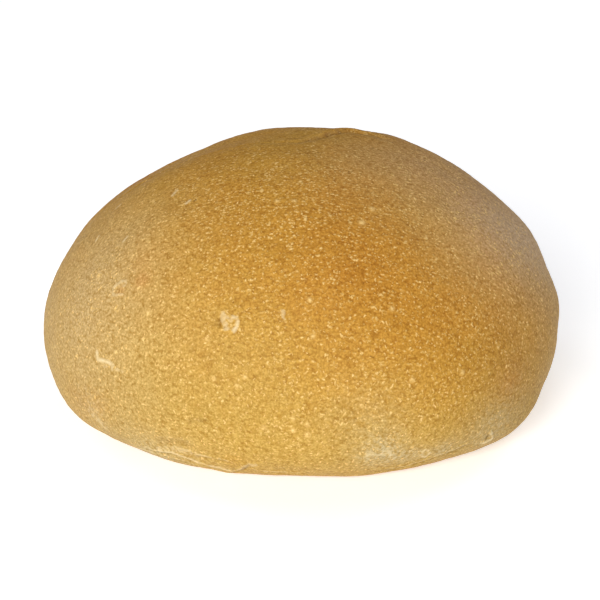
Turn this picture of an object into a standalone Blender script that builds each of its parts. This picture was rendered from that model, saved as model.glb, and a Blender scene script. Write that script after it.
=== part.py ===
"""Soft bread roll, modelled as the one solid that it is.

Metres, +Z up. X runs along the roll's length and -Y is its front. The origin is
the middle of the flat foot that the roll was baked on and rests on.
"""

import math

import bmesh
import bpy
from mathutils import Vector, noise

MM = 0.001

# Driving dimensions.
LENGTH = 110.0 * MM
WIDTH = 92.0 * MM
HEIGHT = 57.0 * MM
GIRTH_HEIGHT = 15.2 * MM  # where the roll is widest
FOOT_SHARE = 0.82  # the flat foot's width, as a share of the girth's

# How full the outlines are: 2 is an ellipse, more is squarer.
PLAN_FULLNESS = 2.08
DOME_FULLNESS = 2.0
FOOT_FULLNESS = 2.25

# What the baker's hands left: (azimuth, latitude, spread, height in millimetres).
# Azimuth turns from +X towards +Y, latitude rises from the girth to the top, and
# the spread is an angle too. A hollow has a height below zero.
SWELLS = (
    (357, 8, 13, 0.2),  # right end
    (12, 33, 15, 0.6),  # right shoulder
    (31, 56, 15, 0.9),
    (62, 64, 18, 0.7),  # right of the crown
    (112, 64, 18, 1.0),  # left of the crown
    (150, 57, 15, -0.8),
    (167, 35, 15, -0.5),  # left shoulder
    (184, 8, 15, 0.6),  # left end
    (203, -20, 13, 1.4),  # under the left end
    (226, -34, 15, 0.3),  # along the front of the foot, from the left
    (255, -36, 15, -1.0),
    (284, -36, 15, 0.2),
    (312, -34, 13, 1.3),
    (333, -24, 12, 1.8),
    (347, -8, 12, -0.6),  # under the right end
    (25, -30, 16, 0.4),  # along the back of the foot, from the right
    (78, -36, 18, -0.5),
    (128, -33, 15, 0.3),
    (100, 20, 20, 0.8),  # broad swell of the back
    (60, 30, 12, -0.5),
)

# The crown's soft fold, from its left end to its right: (azimuth, latitude) each.
FOLD_ENDS = ((165, 46), (58, 79))
FOLD_SPREAD = 6.0
FOLD_DEPTH = 0.7 * MM

# Slow unevenness of the risen dough.
LUMP_SIZE = 16.0 * MM
LUMP_HEIGHT = 0.35 * MM

# Cells round the roll, and from the middle of the foot to the top.
CELLS_ROUND = 80
FOOT_RINGS = 6
DOME_RINGS = 34
SHARPEST_SMOOTH = 25.0  # degrees; only the foot's rim turns more than this


def plan_radius(azimuth):
    """Distance from the middle axis to the girth, seen from above."""
    across = abs(math.cos(azimuth)) / (LENGTH / 2)
    along = abs(math.sin(azimuth)) / (WIDTH / 2)
    return (across**PLAN_FULLNESS + along**PLAN_FULLNESS) ** (-1 / PLAN_FULLNESS)


def foot_latitude():
    """The latitude, below the girth, at which the crust meets the flat foot."""
    return -math.acos(FOOT_SHARE ** (FOOT_FULLNESS / 2))


def section(latitude):
    """(share of the plan radius, height) of the crust's profile at a latitude."""
    if latitude >= 0:
        power = 2 / DOME_FULLNESS
        rise = (HEIGHT - GIRTH_HEIGHT) * math.sin(latitude) ** power
        return math.cos(latitude) ** power, GIRTH_HEIGHT + rise
    power = 2 / FOOT_FULLNESS
    drop = (math.sin(latitude) / math.sin(foot_latitude())) ** power
    return math.cos(latitude) ** power, GIRTH_HEIGHT * (1 - drop)


def unit(azimuth, latitude):
    """The direction at an azimuth and a latitude, in radians."""
    flat = math.cos(latitude)
    return Vector((flat * math.cos(azimuth), flat * math.sin(azimuth), math.sin(latitude)))


def unit_in_degrees(azimuth, latitude):
    return unit(math.radians(azimuth), math.radians(latitude))


def bump(direction, middle, spread):
    """A smooth bump of height 1 round a middle direction, with a spread in degrees."""
    away = math.degrees(direction.angle(middle, 0.0))
    return math.exp(-((away / spread) ** 2))


def swell_height(direction):
    """How far the swells and hollows move the crust outwards at a direction."""
    return sum(
        height * MM * bump(direction, unit_in_degrees(azimuth, latitude), spread)
        for azimuth, latitude, spread, height in SWELLS
    )


def fold_depth(direction):
    """How far the crown's fold sinks the crust at a direction."""
    left, right = (unit_in_degrees(*end) for end in FOLD_ENDS)
    run = right - left
    along = (direction - left).dot(run) / run.length_squared
    nearest = left.lerp(right, max(0.0, min(1.0, along))).normalized()
    return FOLD_DEPTH * bump(direction, nearest, FOLD_SPREAD)


def crust_point(azimuth, latitude):
    """The point of the crust at an azimuth and a latitude."""
    share, height = section(latitude)
    radius = share * plan_radius(azimuth)
    point = Vector((radius * math.cos(azimuth), radius * math.sin(azimuth), height))
    outwards = unit(azimuth, latitude)
    lump = LUMP_HEIGHT * noise.noise(point / LUMP_SIZE)
    move = outwards * (lump + swell_height(outwards) - fold_depth(outwards))
    move.z *= min(1.0, height / GIRTH_HEIGHT)  # the tray keeps the foot flat
    return point + move


def roll_point(azimuth, ring):
    """The point of the roll on a ring, counted from the middle of the foot."""
    lowest = foot_latitude()
    climbed = max(0.0, (ring - FOOT_RINGS) / DOME_RINGS)
    point = crust_point(azimuth, lowest + climbed * (math.pi / 2 - lowest))
    if ring < FOOT_RINGS:
        point *= ring / FOOT_RINGS
    if ring <= FOOT_RINGS:
        point.z = 0.0
    return point


def crust_material():
    """Golden brown crust, with a slight sheen."""
    material = bpy.data.materials.new("golden crust")
    material.use_nodes = True
    shader = material.node_tree.nodes["Principled BSDF"]
    shader.inputs["Base Color"].default_value = (0.60, 0.35, 0.10, 1.0)
    shader.inputs["Roughness"].default_value = 0.55
    shader.inputs["Metallic"].default_value = 0.0
    return material


def build_roll():
    """The whole roll: a ball of rings, shaped ring by ring from the foot to the top."""
    rings = FOOT_RINGS + DOME_RINGS
    dough = bmesh.new()
    bmesh.ops.create_uvsphere(dough, u_segments=CELLS_ROUND, v_segments=rings, radius=1.0)
    for vert in dough.verts:
        azimuth = math.atan2(vert.co.y, vert.co.x)
        below_top = math.acos(max(-1.0, min(1.0, vert.co.z)))
        vert.co = roll_point(azimuth, round(rings * (1 - below_top / math.pi)))
    bmesh.ops.triangulate(dough, faces=dough.faces[:])
    mesh = bpy.data.meshes.new("roll")
    dough.to_mesh(mesh)
    dough.free()
    mesh.shade_smooth()
    mesh.set_sharp_from_angle(angle=math.radians(SHARPEST_SMOOTH))
    mesh.materials.append(crust_material())
    roll = bpy.data.objects.new("roll", mesh)
    bpy.context.scene.collection.objects.link(roll)


def main():
    for old in list(bpy.data.objects):
        bpy.data.objects.remove(old)
    build_roll()


main()
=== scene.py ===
# The bread roll's looks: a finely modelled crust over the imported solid, its
# baked colours and flecks, and a pale studio to see it in. Metres, +Z up.
import math

import bmesh
import bpy
import numpy as np
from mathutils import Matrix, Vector, noise
from mathutils.bvhtree import BVHTree


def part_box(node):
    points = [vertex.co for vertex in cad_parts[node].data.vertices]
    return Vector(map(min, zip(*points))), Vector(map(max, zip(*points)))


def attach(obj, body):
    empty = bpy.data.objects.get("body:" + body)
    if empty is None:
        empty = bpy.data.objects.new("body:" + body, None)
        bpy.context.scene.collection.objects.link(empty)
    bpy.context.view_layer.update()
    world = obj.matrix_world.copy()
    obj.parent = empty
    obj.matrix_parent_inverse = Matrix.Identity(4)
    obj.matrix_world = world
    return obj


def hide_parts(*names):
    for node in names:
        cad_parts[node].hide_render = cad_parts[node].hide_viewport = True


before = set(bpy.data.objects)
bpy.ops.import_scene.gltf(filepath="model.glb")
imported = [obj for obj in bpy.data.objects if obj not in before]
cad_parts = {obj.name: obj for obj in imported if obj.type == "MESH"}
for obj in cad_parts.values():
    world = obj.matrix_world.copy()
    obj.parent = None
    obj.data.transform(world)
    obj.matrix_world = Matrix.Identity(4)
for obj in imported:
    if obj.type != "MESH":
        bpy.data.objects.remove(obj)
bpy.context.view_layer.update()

MM = 0.001

ROLL_LOW, ROLL_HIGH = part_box("roll")
MIDDLE = (ROLL_LOW + ROLL_HIGH) / 2
HALF = (ROLL_HIGH - ROLL_LOW) / 2

# A place on the crust is (azimuth, elevation) in degrees, seen from the roll's
# middle: azimuth turns from +X, the right end, towards +Y, the back, so the
# front is at 270. Elevation 90 is the top and -90 the middle of the foot.

# ------------------------------------------------------------ the crust's form

CELLS = 102  # along each edge of the cube that the crust is blown up from
SMOOTHING_ROUNDS = 23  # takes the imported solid's facets out and rounds the rim

# Slow lumps of the dough: (size, height) in millimetres.
LUMPS = ((11.0, 0.28), (5.0, 0.12), (2.4, 0.03))

# Swells and hollows of the outline: (azimuth, elevation, spread in degrees,
# height in millimetres).
SWELLS = (
    (42, 43, 10, 0.45),  # behind the crown
    (112, 52, 9, 0.30),
    (158, 19, 6, 0.30),
    (4, 9, 6, 0.50),  # the right shoulder
    (13, 21, 6, -0.45),
    (355, -4, 4, 0.35),  # the right end
    (355, -12, 4, -0.35),
    (342, -23, 6, -0.40),  # the foot, from right to left
    (328, -29, 5, 0.30),
    (311, -28, 7, -0.40),
    (246, -33, 8, 0.40),
    (225, -31, 6, -0.40),
    (198, -23, 5, -0.25),
    (180, -8, 5, 0.30),  # the left end
)

# Fine blistering, all over the skin.
BLISTER_PITCH = 1.5 * MM
BLISTER_HEIGHT = 0.07 * MM

# The crease where the crown folds over, from its left end to its right:
# (azimuth, elevation, depth in millimetres).
CREASE = (
    (179, 19, 0.00),
    (176, 24, 0.15),
    (172, 30, 0.20),
    (171, 37, 0.15),
    (172, 50, 0.05),
    (168, 66, 0.05),
    (150, 80, 0.10),
    (97, 85, 0.20),
    (68, 80, 0.35),
    (60, 75, 0.45),
    (55, 66, 0.50),
    (50, 60, 0.45),
    (41, 58, 0.35),
    (32, 53, 0.25),
    (27, 49, 0.00),
)
CREASE_WIDTH = 0.8
LIP_AWAY = 1.4
LIP_WIDTH = 1.1
LIP_SHARE = 0.6

# The crown's flap, which stands up behind the crease: (azimuth, elevation,
# height in millimetres).
FLAP = ((120, 76, 0.0), (94, 70, 0.15), (76, 67, 0.3), (63, 63, 0.35), (55, 58, 0.4), (46, 55, 0.2),
        (38, 52, 0.1), (30, 49, 0.0))
FLAP_WIDTH = 2.8

# Folds pressed into the skin, most of them just above the foot: (path of places,
# depth and width in millimetres). A fold throws up a lip above itself, and painted
# shade darkens the fold.
FOLDS = (
    (((226, -26.5), (231, -26), (234, -26), (236.5, -25.5), (239, -27), (242.5, -29), (246, -30.5)),
     0.60, 0.40),
    (((228.5, -28), (232.5, -28), (236, -28.5), (239, -30.5), (242, -33)), 0.40, 0.35),
    (((233.5, -22.5), (235.5, -21.5), (238, -21), (240.5, -21), (243.5, -22.5)), 0.16, 0.90),
    (((241.5, -25), (244, -25.5), (246.5, -26), (249.5, -26.5), (251.5, -27)), 0.32, 0.40),
    (((247.5, -34), (250.5, -33.5), (254.5, -30), (256, -28), (257, -26)), 0.30, 0.40),
    (((257.5, -31), (261.5, -31), (267, -31.5), (272.5, -32)), 0.35, 0.45),
    (((286, -30.5), (292.5, -31), (298.5, -30), (304, -28), (311.5, -26), (316, -24.5)), 0.30, 0.50),
    (((330, -27), (340, -27.5), (352, -28)), 0.30, 0.50),
    (((4, -25), (18, -27.5), (36, -29)), 0.35, 0.50),
    (((48, -28), (62, -30.5), (80, -32)), 0.40, 0.50),
    (((70, -27.5), (86, -28.5), (104, -31)), 0.30, 0.60),
    (((112, -30.5), (126, -29.5), (142, -30)), 0.35, 0.50),
    (((150, -26), (164, -26), (178, -28)), 0.35, 0.50),
    (((184, -25.5), (194, -25.5), (204, -27.5)), 0.35, 0.45),
    # the soft hollow in front of the crease
    (((198, 46), (193, 60), (192, 72), (262, 86), (340, 74)), 0.10, 2.00),
)
FOLD_LIP_AWAY = 1.0

# Dry dough and flour caught in the skin: (path of places, width in
# millimetres, share of flour, rise in millimetres).
DUSTED = (
    # the patch in the middle of the front, and a fainter one beside it
    (((248.3, 11.0), (248.8, 9.8), (249.3, 8.8), (250.0, 7.8)), 0.75, 0.42, 0.12),
    (((248.9, 10.6), (250.8, 10.0)), 0.70, 0.32, 0.08),
    (((251.3, 10.6), (252.2, 10.4), (252.7, 9.5), (252.5, 8.2), (252.1, 7.2)), 0.45, 0.50, 0.12),
    (((263.6, 12.6), (263.6, 11.2)), 0.50, 0.16, 0.05),
    (((264.8, 13.0), (264.9, 11.3)), 0.50, 0.30, 0.08),
    # the curl at the left, and the arc above it
    (((216.9, -4.4), (217.2, -5.4), (217.8, -6.0)), 0.38, 0.50, 0.12),
    (((217.8, -6.0), (219.0, -5.8), (221.0, -5.6), (222.2, -6.0), (222.1, -6.7)), 0.45, 0.55, 0.14),
    (((218.6, -6.9), (220.4, -6.8)), 0.50, 0.26, 0.05),
    (((222.6, -6.4), (225.0, -6.8)), 0.55, 0.24, 0.05),
    (((216.1, 8.4), (214.9, 9.7), (215.2, 10.4), (216.0, 12.0), (217.1, 12.4), (217.9, 12.0),
      (217.8, 11.2)), 0.38, 0.38, 0.10),
    (((216.1, 8.4), (217.4, 8.9), (218.7, 9.4)), 0.40, 0.28, 0.06),
    # short streaks on the left shoulder
    (((204.0, 37.5), (202.2, 39.6)), 0.40, 0.50, 0.06),
    (((214.7, 38.0), (214.5, 39.6)), 0.35, 0.45, 0.06),
    (((185.9, 22.4), (185.3, 24.0)), 0.35, 0.42, 0.06),
    (((194.8, 15.2), (194.0, 16.3)), 0.35, 0.42, 0.06),
    (((206.6, 20.0), (206.4, 21.4)), 0.35, 0.40, 0.06),
    # straw-pale skin beside the folds of the foot
    (((215, -19), (216.5, -20.5), (218, -22)), 1.40, 0.24, 0.00),
    (((233.5, -24.2), (238, -23.5), (241, -23.8), (244, -25)), 1.30, 0.22, 0.08),
    (((242.5, -29), (245, -29.6), (247.5, -30.2), (249.5, -31.6)), 0.70, 0.50, 0.08),
    (((252, -31.5), (256, -27), (258, -26.5)), 0.80, 0.34, 0.08),
    (((224, -27.5), (228, -27.3), (233, -27)), 0.70, 0.32, 0.00),
    (((60, -32), (72, -33), (84, -33.5)), 0.90, 0.32, 0.05),
    (((110, -27), (124, -26), (140, -26.5)), 1.20, 0.28, 0.05),
    (((20, -29.5), (34, -31)), 0.90, 0.32, 0.05),
    # the dusty patches of the foot
    (((286, -22.5), (288.5, -23), (291, -22), (292.5, -24.5)), 0.90, 0.24, 0.10),
    (((301, -22.8), (302.6, -24.6), (301.6, -26.2), (299.9, -24.4), (300.8, -22.9)), 0.40, 0.34, 0.12),
    (((303.8, -24.8), (306.2, -25)), 0.60, 0.22, 0.08),
    # a few on the sides that don't show
    (((112.0, 18.0), (113.6, 17.2), (114.4, 16.0)), 0.50, 0.50, 0.10),
    (((158.0, 2.0), (159.2, 1.2)), 0.55, 0.45, 0.08),
)

# Single blisters that stand out, larger and paler than the rest: (azimuth,
# elevation, radius in millimetres).
PALE_BLISTERS = (
    (207.3, 10.4, 0.50),
    (228.2, 7.4, 0.45),
    (245.3, 4.5, 0.40),
    (248.4, -4.4, 0.40),
    (256.8, 49.1, 0.45),
    (256.0, -3.2, 0.40),
    (254.2, -5.5, 0.40),
    (261.0, -15.0, 0.45),
    (266.1, 49.6, 0.45),
    (268.0, -12.5, 0.40),
    (267.8, -15.5, 0.45),
    (271.3, -13.9, 0.40),
    (271.3, -16.4, 0.50),
    (272.4, 16.0, 0.45),
    (272.8, 6.9, 0.40),
    (303.5, 42.3, 0.50),
    (295.5, 38.1, 0.60),
    (295.0, 12.0, 0.45),
    (296.9, -5.1, 0.45),
    (309.6, -5.4, 0.45),
    (20, 8, 0.50),
    (39, 30, 0.60),
    (75, 12, 0.45),
    (96, 44, 0.50),
    (134, 22, 0.50),
    (172, 15, 0.45),
)

# Flour rubbed thinly into the skin: (azimuth, elevation, spread in degrees, share).
BLOOM = (
    (286, -14, 10, 0.12),
    (290, -23, 5, 0.40),  # the foot's dusty patches
    (298, -24.5, 3, 0.30),
    (306, -24.5, 3, 0.32),
    (319, -22, 7, 0.30),
    (326, -14, 8, 0.10),
    (215, -18, 7, 0.20),
    (232, -27, 7, 0.20),
    (60, -22, 8, 0.25),  # the back
    (140, -24, 7, 0.28),
    (175, -22, 6, 0.20),
)

SCRATCH = ((243.5, -14.7), (245.5, -14.4), (247.2, -14.4))
CRATER = (318.9, -24.0)
CRATER_RIM = 1.4
# Small pits, by the patch and in the crater, darkened with painted shade: (azimuth,
# elevation, width and depth in millimetres).
PITS = (
    (247.6, 9.6, 0.45, 0.30),
    (247.9, 8.5, 0.50, 0.35),
    (249.8, 7.9, 0.35, 0.25),
    (*CRATER, 0.55, 0.45),
)

# Painted sheen, tinted pale and rosy: (azimuth, elevation, spread, share).
PAINTED_SHEEN = (
    (334, 20, 17, 0.17),  # the right shoulder
    (350, 13, 14, 0.36),
    (0, 8, 10, 0.24),
    (338, 60, 22, 0.12),
    (4, 38, 22, 0.18),
    (208, 6, 24, 0.25),  # the left cheek
    (110, 30, 24, 0.15),  # the back
)

# Painted shade, darker low on the ends: (azimuth, elevation, spread, share).
PAINTED_SHADE_SPOTS = ((324, -17, 13, 0.20), (320, -3, 12, 0.09), (345, 14, 14, 0.07),
        (214, -20, 12, 0.10), (30, -20, 16, 0.10), (150, -20, 16, 0.10))

# Where flecks crowd together: (azimuth, elevation, spread, amount).
CROWDED = (
    (288, -10, 18, 0.12),
    (345, 30, 28, 0.35),
    (255, 52, 26, 0.40),
    (215, 20, 14, 0.15),
)


# ------------------------------------------------------------ shaping the mesh


def direction(azimuth, elevation):
    """The unit direction from the roll's middle to a place on the crust."""
    turn = math.radians(azimuth)
    rise = math.radians(elevation)
    flat = math.cos(rise)
    return np.array((flat * math.cos(turn), flat * math.sin(turn), math.sin(rise)))


def curved(places, steps):
    """The places with further ones between them, on a smooth curve through them all."""
    places = np.array(places, float)
    ends = np.vstack([2 * places[0] - places[1], places, 2 * places[-1] - places[-2]])
    curve = []
    for before, start, end, after in zip(ends, ends[1:], ends[2:], ends[3:]):
        for part in range(steps):
            t = part / steps
            curve.append(0.5 * (2 * start + (end - before) * t
                                + (2 * before - 5 * start + 4 * end - after) * t**2
                                + (3 * start - before - 3 * end + after) * t**3))
    return curve + [places[-1]]


CREASE_LINE = curved(CREASE, 5)


def merged_solid():
    """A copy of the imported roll's mesh, with its loose triangles joined."""
    solid = bmesh.new()
    solid.from_mesh(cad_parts["roll"].data)
    bmesh.ops.remove_doubles(solid, verts=solid.verts[:], dist=0.001 * MM)
    return solid


def blown_up_cube():
    """A fine cube of quads, rounded to a ball with cells of like size."""
    ball = bmesh.new()
    bmesh.ops.create_cube(ball, size=2.0)
    bmesh.ops.subdivide_edges(ball, edges=ball.edges[:], cuts=CELLS - 1, use_grid_fill=True)
    for vert in ball.verts:
        evened = Vector(math.tan(part * math.pi / 4) for part in vert.co)
        vert.co = evened.normalized()
    return ball


def refine(crust, paths, reach):
    """Splits the cells within a reach in millimetres of any of the paths of places."""
    ways = np.array([vert.co for vert in crust.verts]) - np.array(MIDDLE)
    radii = np.linalg.norm(ways, axis=1)
    ways /= radii[:, None]
    near = np.zeros(len(ways), bool)
    for places in paths:
        stops = [direction(*place[:2]) for place in places]
        for start, end in zip(stops, stops[1:]):
            run = end - start
            share = np.clip((ways - start) @ run / (run @ run), 0, 1)
            gap = np.linalg.norm(ways - start - share[:, None] * run, axis=1)
            near |= gap * radii < reach * MM
    crust.verts.index_update()
    edges = [edge for edge in crust.edges if near[edge.verts[0].index] and near[edge.verts[1].index]]
    bmesh.ops.subdivide_edges(crust, edges=edges, cuts=1, use_grid_fill=True)


def smooth_crust():
    """The ball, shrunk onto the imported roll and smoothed."""
    solid = merged_solid()
    surface = BVHTree.FromBMesh(solid)
    solid.free()
    crust = blown_up_cube()
    for vert in crust.verts:
        way = Vector(part * half for part, half in zip(vert.co, HALF))
        vert.co = surface.ray_cast(MIDDLE, way.normalized())[0]
    for _ in range(SMOOTHING_ROUNDS):
        bmesh.ops.smooth_vert(crust, verts=crust.verts[:], factor=0.5,
                              use_axis_x=True, use_axis_y=True, use_axis_z=True)
    marks = [dusted[0] for dusted in DUSTED]
    marks += [((azimuth, elevation), (azimuth + 0.1, elevation)) for azimuth, elevation, _ in PALE_BLISTERS]
    marks.append((CRATER, (CRATER[0] + 1, CRATER[1])))
    folds = [fold[0] for fold in FOLDS[:-1]]
    refine(crust, marks + folds + [CREASE_LINE], 2.2)
    refine(crust, marks, 1.3)
    crust.normal_update()
    return crust


class Skin:
    """Every point of the smooth crust, the relief it is to get, what it is dusted with, and the painted
    shade and sheen on it.
    """

    def __init__(self, crust):
        self.spots = [vert.co.copy() for vert in crust.verts]
        self.points = np.array(self.spots)
        self.outwards = np.array([vert.normal for vert in crust.verts])
        ways = self.points - np.array(MIDDLE)
        self.ways = ways / np.linalg.norm(ways, axis=1)[:, None]
        self.azimuth = np.degrees(np.arctan2(self.ways[:, 1], self.ways[:, 0])) % 360
        self.height = self.points[:, 2] / MM
        nothing = np.zeros(len(self.points))
        self.relief = nothing.copy()  # millimetres outwards
        # Besides the tone and the flour, the layers hold a painted sheen, pale blisters with a painted
        # highlight, and painted shade.
        self.browning = nothing.copy()
        self.flour = nothing.copy()
        self.bloom = nothing.copy()
        self.painted_sheen = nothing.copy()
        self.blister_and_highlight = nothing.copy()
        self.crowding = nothing.copy()
        self.painted_shade = nothing.copy()

    def wander(self, size, seed):
        """Smooth noise from -1 to 1 over the skin, with lumps of a size in millimetres."""
        shift = Vector((seed * 7.3, seed * 3.1, seed * 5.7))
        scale = 1 / (size * MM)
        return np.array([noise.noise(spot * scale + shift) for spot in self.spots])

    def round(self, place, spread):
        """1 at a place, fading smoothly over a spread in degrees."""
        away = np.degrees(np.arccos(np.clip(self.ways @ direction(*place), -1, 1)))
        return np.exp(-((away / spread) ** 2))

    def away(self, place):
        """The distance in millimetres from a place."""
        return np.linalg.norm(self.points - self.on_crust(place), axis=1) / MM

    def on_crust(self, place):
        """The point of the smooth crust at a place."""
        return self.points[np.argmax(self.ways @ direction(*place))]

    def along(self, places):
        """(distance in millimetres from a path, share of it passed, side of it) over the skin."""
        stops = [self.on_crust(place) for place in places]
        nearest = np.full(len(self.points), np.inf)
        passed = np.zeros(len(self.points))
        side = np.zeros(len(self.points))
        for leg, (start, end) in enumerate(zip(stops, stops[1:])):
            run = end - start
            share = np.clip((self.points - start) @ run / (run @ run), 0, 1)
            gap = self.points - start - share[:, None] * run
            away = np.linalg.norm(gap, axis=1)
            closer = away < nearest
            nearest[closer] = away[closer]
            passed[closer] = ((leg + share) / (len(stops) - 1))[closer]
            turned = np.cross(self.outwards, run)
            side[closer] = np.sign((gap * turned).sum(axis=1))[closer]
        return nearest / MM, passed, side


def bell(distance, width):
    return np.exp(-((distance / width) ** 2))


def step(values, low, high):
    """0 below low, 1 above high, smooth between. The limits may be given high first."""
    share = np.clip((values - low) / (high - low), 0, 1)
    return share * share * (3 - 2 * share)


def raise_lumps(skin):
    for seed, (size, height) in enumerate(LUMPS):
        skin.relief += height * skin.wander(size, seed + 1)
    for azimuth, elevation, spread, height in SWELLS:
        skin.relief += height * skin.round((azimuth, elevation), spread)


def raise_blisters(skin):
    """A low dome in each cell of an uneven pattern, each of its own height."""
    domes = []
    for spot in skin.spots:
        distances, centres = noise.voronoi(spot / BLISTER_PITCH)
        size = 0.35 + 0.65 * abs(noise.cell(centres[0] * 7.9))
        domes.append(size * max(0.0, 1 - (distances[0] / 0.62) ** 2))
    skin.relief += BLISTER_HEIGHT / MM * np.array(domes)


def press_crease(skin):
    """The crown's crease, with the fold's lip along its front, painted shade in and beside it and a painted
    highlight along its edge; and the flap behind it, with painted shade.
    """
    distance, passed, side = skin.along([place[:2] for place in CREASE_LINE])
    depths = [place[2] for place in CREASE_LINE]
    depth = np.interp(passed, np.linspace(0, 1, len(depths)), depths)
    width = CREASE_WIDTH * (1 + 0.35 * skin.wander(3.0, 20))
    valley = bell(distance, np.where(side > 0, 0.7, 1.5) * width)
    lip = bell(distance - LIP_AWAY, LIP_WIDTH) * (side > 0)
    skin.relief += depth * (LIP_SHARE * lip - valley)
    # Painted shade in the crease and beside it.
    skin.painted_shade += 1.1 * depth * bell(distance, 0.6 * width)
    skin.painted_shade += 0.25 * depth * bell(distance, 2.0 * width) * (side < 0)
    # A painted highlight: a thin pale line along the crease's edge.
    skin.blister_and_highlight = np.maximum(skin.blister_and_highlight, depth * bell(distance - 0.9, 0.4) * (side < 0))
    flap = curved(FLAP, 4)
    distance, passed, _ = skin.along([place[:2] for place in flap])
    heights = [place[2] for place in flap]
    raised = np.interp(passed, np.linspace(0, 1, len(heights)), heights)
    skin.relief += raised * bell(distance, FLAP_WIDTH)
    # Painted shade on the flap.
    skin.painted_shade += 0.5 * raised * bell(distance, FLAP_WIDTH)


def press_folds(skin):
    wobble = skin.wander(3.0, 31)
    for places, depth, width in FOLDS:
        distance, passed, side = skin.along(curved(places, 3))
        ends = step(passed, 0.0, 0.2) * step(passed, 1.0, 0.8)
        fold = ends * bell(distance, width * (1 + 0.3 * wobble))
        lip = ends * bell(distance - FOLD_LIP_AWAY, width) * (side > 0)
        skin.relief += depth * (0.6 * lip - fold)
        # Painted shade in the fold.
        skin.painted_shade += 1.6 * depth * fold
        skin.flour = np.maximum(skin.flour, 0.8 * depth * lip)


def add_marks(skin):
    """Caught dough and flour, the scratch, and the pits with the one crater's rim, with painted shade in
    the scratch and the pits; also the bloom, the painted sheen, painted shade low on the ends, and where
    flecks crowd.
    """
    for places, width, share, rise in DUSTED:
        distance, _, _ = skin.along(places)
        dust = bell(distance, width)
        skin.relief += rise * dust
        skin.flour = np.maximum(skin.flour, share * dust)
    for azimuth, elevation, radius in PALE_BLISTERS:
        blister_and_highlight = bell(skin.away((azimuth, elevation)), radius)
        skin.relief += 0.08 * blister_and_highlight
        skin.blister_and_highlight = np.maximum(skin.blister_and_highlight, blister_and_highlight)
    for azimuth, elevation, spread, share in BLOOM:
        skin.bloom += share * skin.round((azimuth, elevation), spread)
    # Painted sheen.
    for azimuth, elevation, spread, share in PAINTED_SHEEN:
        skin.painted_sheen += share * skin.round((azimuth, elevation), spread)
    # Painted shade, low on the ends.
    for azimuth, elevation, spread, share in PAINTED_SHADE_SPOTS:
        skin.painted_shade += share * skin.round((azimuth, elevation), spread)
    for azimuth, elevation, spread, amount in CROWDED:
        skin.crowding += amount * skin.round((azimuth, elevation), spread)
    # Painted shade in the scratch and the pits.
    distance, _, _ = skin.along(SCRATCH)
    scratch = bell(distance, 0.35)
    skin.relief -= 0.15 * scratch
    skin.painted_shade += 0.5 * scratch
    for azimuth, elevation, width, depth in PITS:
        pit = bell(skin.away((azimuth, elevation)), width)
        skin.relief -= depth * pit
        skin.painted_shade += 1.5 * depth * pit
    rim = bell(skin.away(CRATER) - CRATER_RIM - 0.5 * skin.wander(1.5, 40), 0.45)
    rim *= step(skin.wander(1.8, 43), -0.25, 0.25)
    skin.relief += 0.25 * rim
    skin.flour = np.maximum(skin.flour, 0.6 * rim)


def wear_foot(skin):
    """The baked foot: shallow pits and creases that sink in, so that it still lies flat, with painted shade
    in them.
    """
    foot = step(skin.height, 1.2, 0.3)
    skin.relief *= 1 - foot
    hollows = np.clip(skin.wander(7.0, 50) + 0.4 * skin.wander(2.5, 51), 0, 1)
    creases = np.clip(1 - 9 * np.abs(skin.wander(12.0, 52) + 0.2 * skin.wander(3.0, 53)), 0, 1)
    pocks = np.clip(3 * skin.wander(1.6, 54) - 1.2, 0, 1)
    skin.relief -= foot * (0.35 * hollows + 0.25 * creases + 0.2 * pocks)
    skin.painted_shade += foot * (0.35 * creases + 0.35 * pocks)


# Where the crust is browner or paler than its height alone makes it:
# (azimuth, elevation, spread, amount).
BROWNING = (
    (215, 0, 30, -0.16),  # the left end is paler
    (200, 25, 22, -0.11),
    (222, -25, 10, -0.06),
    (235, 20, 16, 0.05),
    (285, 30, 22, 0.13),  # the front of the crown is brownest
    (300, 12, 28, 0.19),
    (330, 0, 22, 0.17),  # and the right cheek
    (320, 25, 20, -0.11),
    (345, 10, 16, -0.07),
    (312, -22, 10, -0.07),
    (288, -18, 10, -0.08),
    (284, 22, 4, 0.08),  # small scorches
    (324, -10, 4, 0.10),
    (218, 18, 3, 0.10),
    (222, 14, 2.2, 0.30),
    (217.4, 10.2, 1.2, 0.25),
    (211, -19, 6, 0.22),
    (218.5, -16.5, 5, 0.22),
    (158, 22, 5, 0.35),
    (252.5, -25.5, 3, 0.12),
    (322, -12, 3, 0.15),
    (232, -28, 9, -0.12),
    (90, 75, 35, -0.15),  # the top of the back is paler
    (75, 20, 30, 0.20),
    (135, 5, 25, 0.12),
)
LOW_BROWNING = 0.17
HIGH_BROWNING = 0.65


def bake(skin):
    """How brown each spot is: pale at the rim of the foot, brown on the crown."""
    rise = skin.height / (ROLL_HIGH.z / MM)
    skin.browning += LOW_BROWNING + (HIGH_BROWNING - LOW_BROWNING) * rise
    for azimuth, elevation, spread, amount in BROWNING:
        skin.browning += amount * skin.round((azimuth, elevation), spread)
    skin.browning += 0.05 * skin.wander(14.0, 60) + 0.03 * skin.wander(5.0, 61)
    skin.browning += 0.5 * step(skin.height, 1.0, 0.2)


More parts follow.
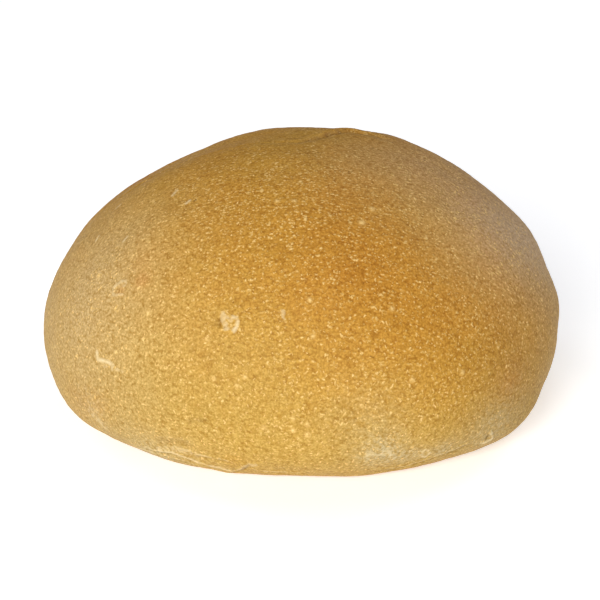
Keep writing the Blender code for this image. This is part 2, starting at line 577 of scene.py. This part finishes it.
def build_crust():
    """The whole roll, in one piece."""
    crust = smooth_crust()
    skin = Skin(crust)
    raise_lumps(skin)
    raise_blisters(skin)
    press_crease(skin)
    press_folds(skin)
    add_marks(skin)
    wear_foot(skin)
    bake(skin)
    shaped = skin.points + skin.outwards * skin.relief[:, None] * MM
    for vert, place in zip(crust.verts, shaped):
        vert.co = place
        vert.co.z = max(vert.co.z, 0.0)
    mesh = bpy.data.meshes.new("crust")
    crust.to_mesh(mesh)
    crust.free()
    mesh.shade_smooth()
    for name in ("browning", "flour", "bloom", "painted_sheen", "blister_and_highlight", "crowding", "painted_shade"):
        layer = mesh.attributes.new(name, "FLOAT", "POINT")
        layer.data.foreach_set("value", np.clip(getattr(skin, name), 0, 1).astype(np.float32))
    mesh.materials.append(crust_material())
    piece = bpy.data.objects.new("crust", mesh)
    bpy.context.scene.collection.objects.link(piece)
    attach(piece, "root")
    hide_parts("roll")


# ------------------------------------------------------------ the crust's colour

# Baked crust from the palest to the brownest: (browning, colour).
BAKED_COLOURS = (
    (0.0, (0.44, 0.300, 0.094)),
    (0.27, (0.467, 0.286, 0.058)),
    (0.47, (0.480, 0.259, 0.037)),
    (0.67, (0.480, 0.229, 0.028)),
    (0.87, (0.450, 0.194, 0.021)),
    (1.0, (0.36, 0.140, 0.013)),
)
FLECK_COLOUR = (0.73, 0.475, 0.165, 1.0)
FLOUR_COLOUR = (0.76, 0.60, 0.34, 1.0)
BLOOM_COLOUR = (0.48, 0.43, 0.29, 1.0)
# The painted sheen's colour.
PAINTED_SHEEN_COLOUR = (0.56, 0.42, 0.31, 1.0)
# Painted shade: the tint that darkens creases, folds, pits, pinholes and the low ends.
PAINTED_SHADE_TINT = (0.46, 0.41, 0.32, 1.0)


# The layers of flecks: (pitch in millimetres, size as a share of it, rarity, turn of
# the long way in degrees, length to width). The first one's gaps are darkened with
# painted shade, and the last layer is the sparse pinholes, dots of painted shade.
FLECK_LAYERS = (
    (0.60, 0.42, 0.20, 15, 1.6),
    (0.60, 0.40, 0.30, 75, 1.6),
    (0.62, 0.40, 0.30, 135, 1.6),
    (1.20, 0.28, 0.35, 40, 1.6),
    (1.30, 0.28, 0.35, 120, 1.6),
    (2.60, 0.13, 0.20, 0, 1.0),
)
RAGGEDNESS = 1.1


def add_node(tree, kind, inputs=(), **settings):
    """Adds a node, with its settings made and its inputs set or linked."""
    node = tree.nodes.new(kind)
    for name, value in settings.items():
        setattr(node, name, value)
    for name, value in dict(inputs).items():
        if isinstance(value, bpy.types.NodeSocket):
            tree.links.new(value, node.inputs[name])
        else:
            node.inputs[name].default_value = value
    return node


def reckon(tree, operation, first, second=0.0):
    """The outcome of one sum, for instance MULTIPLY or ADD."""
    return add_node(tree, "ShaderNodeMath", {0: first, 1: second}, operation=operation).outputs[0]


def ramp(tree, value, low, high, start=0.0, end=1.0):
    """start below low and end above high, smooth between."""
    inputs = {"Value": value, "From Min": low, "From Max": high, "To Min": start, "To Max": end}
    node = add_node(tree, "ShaderNodeMapRange", inputs, interpolation_type="SMOOTHSTEP")
    return node.outputs["Result"]


def mix_colours(tree, share, first, second, how="MIX"):
    inputs = {0: share, 6: first, 7: second}
    node = add_node(tree, "ShaderNodeMix", inputs, data_type="RGBA", blend_type=how)
    return node.outputs[2]


def noise_value(tree, place, size, detail=2.0):
    """Smooth noise from 0 to 1, with lumps of a size in metres."""
    inputs = {"Vector": place, "Scale": 1 / size, "Detail": detail}
    return add_node(tree, "ShaderNodeTexNoise", inputs).outputs["Fac"]


def fleck_group():
    """Pale flecks in the skin, each of its own size and brightness, and the gaps between, where painted
    shade goes.
    """
    group = bpy.data.node_groups.new("skin flecks", "ShaderNodeTree")
    sockets = group.interface
    sockets.new_socket("Place", in_out="INPUT", socket_type="NodeSocketVector")
    for name in ("Pitch", "Size", "Rarity", "Raggedness"):
        sockets.new_socket(name, in_out="INPUT", socket_type="NodeSocketFloat")
    for name in ("Fleck", "Gap"):
        sockets.new_socket(name, in_out="OUTPUT", socket_type="NodeSocketFloat")
    given = group.nodes.new("NodeGroupInput").outputs
    result = group.nodes.new("NodeGroupOutput").inputs
    cells = reckon(group, "DIVIDE", 1.0, given["Pitch"])
    place = add_node(group, "ShaderNodeVectorMath", {0: given["Place"], "Scale": cells},
                     operation="SCALE").outputs[0]
    stir = add_node(group, "ShaderNodeTexNoise", {"Vector": place, "Scale": 1.6, "Detail": 2.0})
    centred = add_node(group, "ShaderNodeVectorMath", {0: stir.outputs["Color"], 1: (0.5, 0.5, 0.5)},
                       operation="SUBTRACT").outputs[0]
    pushed = add_node(group, "ShaderNodeVectorMath", {0: centred, "Scale": given["Raggedness"]},
                      operation="SCALE").outputs[0]
    stirred = add_node(group, "ShaderNodeVectorMath", {0: place, 1: pushed},
                       operation="ADD").outputs[0]
    spots = add_node(group, "ShaderNodeTexVoronoi", {"Vector": stirred, "Scale": 1.0})
    chances = add_node(group, "ShaderNodeSeparateColor", {0: spots.outputs["Color"]}).outputs
    reach = reckon(group, "MULTIPLY", given["Size"], ramp(group, chances[0], 0.0, 1.0, 0.5, 1.0))
    inner = reckon(group, "MULTIPLY", reach, 0.45)
    spot = ramp(group, spots.outputs["Distance"], inner, reach, 1.0, 0.0)
    bright = ramp(group, chances[1], given["Rarity"], 1.05)
    group.links.new(reckon(group, "MULTIPLY", spot, bright), result["Fleck"])
    group.links.new(ramp(group, spots.outputs["Distance"], 0.42, 0.75), result["Gap"])
    return group


def crust_material():
    """Golden crust: baked tone, pale flecks, gaps darkened with painted shade, flour, painted sheen,
    painted shade in hollows and low on the ends, and a soft sheen.
    """
    material = bpy.data.materials.new("golden crust")
    material.use_nodes = True
    tree = material.node_tree
    shader = tree.nodes["Principled BSDF"]
    shader.inputs["Specular IOR Level"].default_value = 0.2
    place = tree.nodes.new("ShaderNodeTexCoord").outputs["Object"]
    browning = add_node(tree, "ShaderNodeAttribute", attribute_name="browning").outputs["Fac"]
    flour = add_node(tree, "ShaderNodeAttribute", attribute_name="flour").outputs["Fac"]
    bloom = add_node(tree, "ShaderNodeAttribute", attribute_name="bloom").outputs["Fac"]
    painted_sheen = add_node(tree, "ShaderNodeAttribute", attribute_name="painted_sheen").outputs["Fac"]
    blister_and_highlight = add_node(tree, "ShaderNodeAttribute", attribute_name="blister_and_highlight").outputs["Fac"]
    crowding = add_node(tree, "ShaderNodeAttribute", attribute_name="crowding").outputs["Fac"]
    painted_shade = add_node(tree, "ShaderNodeAttribute", attribute_name="painted_shade").outputs["Fac"]

    mottle = noise_value(tree, place, 2.6 * MM, 3.0)
    tone = reckon(tree, "ADD", browning, ramp(tree, mottle, 0.25, 0.75, -0.03, 0.03))
    palette = add_node(tree, "ShaderNodeValToRGB", {0: tone})
    stops = palette.color_ramp.elements
    stops.remove(stops[1])
    stops[0].position = BAKED_COLOURS[0][0]
    stops[0].color = (*BAKED_COLOURS[0][1], 1.0)
    for browned, colour in BAKED_COLOURS[1:]:
        stops.new(browned).color = (*colour, 1.0)

    flecks = fleck_group()
    grown = reckon(tree, "ADD", reckon(tree, "MULTIPLY", crowding, 0.5), 1.0)
    layers = []
    for pitch, size, rarity, turn, stretch in FLECK_LAYERS:
        turned = add_node(tree, "ShaderNodeMapping", {
            "Vector": place, "Rotation": (0.0, math.radians(turn), 0.0),
            "Scale": (stretch, 1.0, 1.0)}, vector_type="TEXTURE").outputs[0]
        layers.append(add_node(tree, "ShaderNodeGroup", {
            "Place": turned, "Pitch": pitch * MM, "Size": reckon(tree, "MULTIPLY", grown, size),
            "Rarity": rarity, "Raggedness": RAGGEDNESS}, node_tree=flecks).outputs)
    pinholes = layers.pop()
    pale = layers[0]["Fleck"]
    for layer in layers[1:]:
        pale = reckon(tree, "MAXIMUM", pale, layer["Fleck"])
    grain = noise_value(tree, place, 0.42 * MM, 1.0)

    thick = ramp(tree, noise_value(tree, place, 5.0 * MM), 0.35, 0.65, 0.88, 1.0)
    pale = reckon(tree, "MULTIPLY", pale, thick)
    pale = reckon(tree, "MULTIPLY", pale, reckon(tree, "ADD", crowding, 1.0))
    pale = reckon(tree, "MINIMUM", reckon(tree, "MAXIMUM", pale, blister_and_highlight), 1.0)
    # Painted shade in the gaps between the flecks.
    broken = ramp(tree, noise_value(tree, place, 1.1 * MM), 0.38, 0.62, 0.3, 0.85)
    gap_shade = reckon(tree, "MULTIPLY", layers[0]["Gap"], broken)
    uneven = ramp(tree, noise_value(tree, place, 0.8 * MM, 3.0), 0.3, 0.7, 0.5, 1.5)
    dusted = reckon(tree, "MULTIPLY", bloom, uneven)
    # Painted sheen.
    base = mix_colours(tree, painted_sheen, palette.outputs["Color"], PAINTED_SHEEN_COLOUR)
    base = mix_colours(tree, dusted, base, BLOOM_COLOUR)
    gap_shaded_colour = mix_colours(tree, 1.0, base, (0.73, 0.63, 0.38, 1.0), "MULTIPLY")
    colour = mix_colours(tree, gap_shade, base, gap_shaded_colour)
    colour = mix_colours(tree, pale, colour, FLECK_COLOUR)
    grained = mix_colours(tree, 1.0, colour, add_node(tree, "ShaderNodeCombineColor", {
        0: ramp(tree, grain, 0.3, 0.7, 0.84, 1.16), 1: ramp(tree, grain, 0.3, 0.7, 0.80, 1.20),
        2: ramp(tree, grain, 0.3, 0.7, 0.65, 1.35)}).outputs[0], "MULTIPLY")
    lying = reckon(tree, "MULTIPLY", flour, uneven)
    lying = reckon(tree, "MULTIPLY", lying, ramp(tree, lying, 0.10, 0.24, 0.0, 1.15))
    caught = reckon(tree, "MINIMUM", lying, 1.0)
    colour = mix_colours(tree, caught, grained, FLOUR_COLOUR)
    # Painted shade in the creases, folds, pits, pinholes and low on the ends.
    shade_share = reckon(tree, "MAXIMUM", painted_shade, reckon(tree, "MULTIPLY", pinholes["Fleck"], 0.9))
    shaded_colour = mix_colours(tree, 1.0, colour, PAINTED_SHADE_TINT, "MULTIPLY")
    colour = mix_colours(tree, shade_share, colour, shaded_colour)
    tree.links.new(colour, shader.inputs["Base Color"])

    height = reckon(tree, "ADD", reckon(tree, "MULTIPLY", pale, 0.05),
                    reckon(tree, "MULTIPLY", grain, 0.03))
    height = reckon(tree, "SUBTRACT", height, reckon(tree, "MULTIPLY", gap_shade, 0.03))
    bump = add_node(tree, "ShaderNodeBump", {"Height": height, "Distance": MM, "Strength": 1.0})
    tree.links.new(bump.outputs["Normal"], shader.inputs["Normal"])
    tree.links.new(ramp(tree, pale, 0.0, 1.0, 0.62, 0.72), shader.inputs["Roughness"])
    return material


# ------------------------------------------------------------ the studio

CAMERA_ELEVATION = 25.0
CAMERA_DISTANCE = 0.36
CAMERA_LENS = 100.7
CAMERA_AIM = Vector((-0.0005, 0.0, 0.0219))

SKY = 0.1
FLOOR_SIZE = 6.0
FLOOR_GLOW = 0.45

# (name, place, width, watts, colour)
LIGHTS = (
    ("key light", (-0.28, -0.77, 0.41), 0.45, 7.25, (1.0, 1.0, 0.97)),
    ("front fill", (0.10, -0.85, 0.12), 0.45, 1.10, (1.0, 1.0, 0.97)),
    ("left window", (-0.67, 0.39, 0.48), 0.45, 1.5, (0.97, 0.99, 1.1)),
    ("right window", (0.60, 0.51, 0.45), 0.45, 2.2, (0.97, 0.99, 1.1)),
    ("overhead light", (0.0, 0.15, 0.85), 0.45, 0.72, (1.0, 1.0, 0.98)),
)


def build_lights():
    for name, place, width, watts, colour in LIGHTS:
        lamp = bpy.data.lights.new(name, "AREA")
        lamp.shape = "DISK"
        lamp.size = width
        lamp.energy = watts
        lamp.color = colour
        holder = bpy.data.objects.new(name, lamp)
        holder.location = place
        holder.rotation_euler = (MIDDLE - Vector(place)).to_track_quat("-Z", "Y").to_euler()
        bpy.context.scene.collection.objects.link(holder)
    world = bpy.data.worlds.new("sky")
    world.use_nodes = True
    world.node_tree.nodes["Background"].inputs["Color"].default_value = (1.0, 1.0, 1.0, 1.0)
    world.node_tree.nodes["Background"].inputs["Strength"].default_value = SKY
    bpy.context.scene.world = world


def build_floor():
    ground = bmesh.new()
    bmesh.ops.create_grid(ground, x_segments=1, y_segments=1, size=FLOOR_SIZE / 2)
    mesh = bpy.data.meshes.new("floor")
    ground.to_mesh(mesh)
    ground.free()
    paint = bpy.data.materials.new("floor")
    paint.use_nodes = True
    shader = paint.node_tree.nodes["Principled BSDF"]
    shader.inputs["Base Color"].default_value = (0.9, 0.9, 0.9, 1.0)
    shader.inputs["Roughness"].default_value = 0.9
    shader.inputs["Emission Color"].default_value = (1.0, 1.0, 1.0, 1.0)
    shader.inputs["Emission Strength"].default_value = FLOOR_GLOW
    mesh.materials.append(paint)
    floor = bpy.data.objects.new("floor", mesh)
    bpy.context.scene.collection.objects.link(floor)


def build_camera():
    camera = bpy.data.objects.new("camera", bpy.data.cameras.new("camera"))
    camera.data.lens = CAMERA_LENS
    camera.data.sensor_width = 36.0
    rise = math.radians(CAMERA_ELEVATION)
    back = Vector((0.0, -math.cos(rise), math.sin(rise)))
    camera.location = CAMERA_AIM + back * CAMERA_DISTANCE
    camera.rotation_euler = (-back).to_track_quat("-Z", "Y").to_euler()
    bpy.context.scene.collection.objects.link(camera)
    bpy.context.scene.camera = camera


build_crust()
build_lights()
build_floor()
build_camera()
bpy.context.scene.view_settings.view_transform = "Standard"
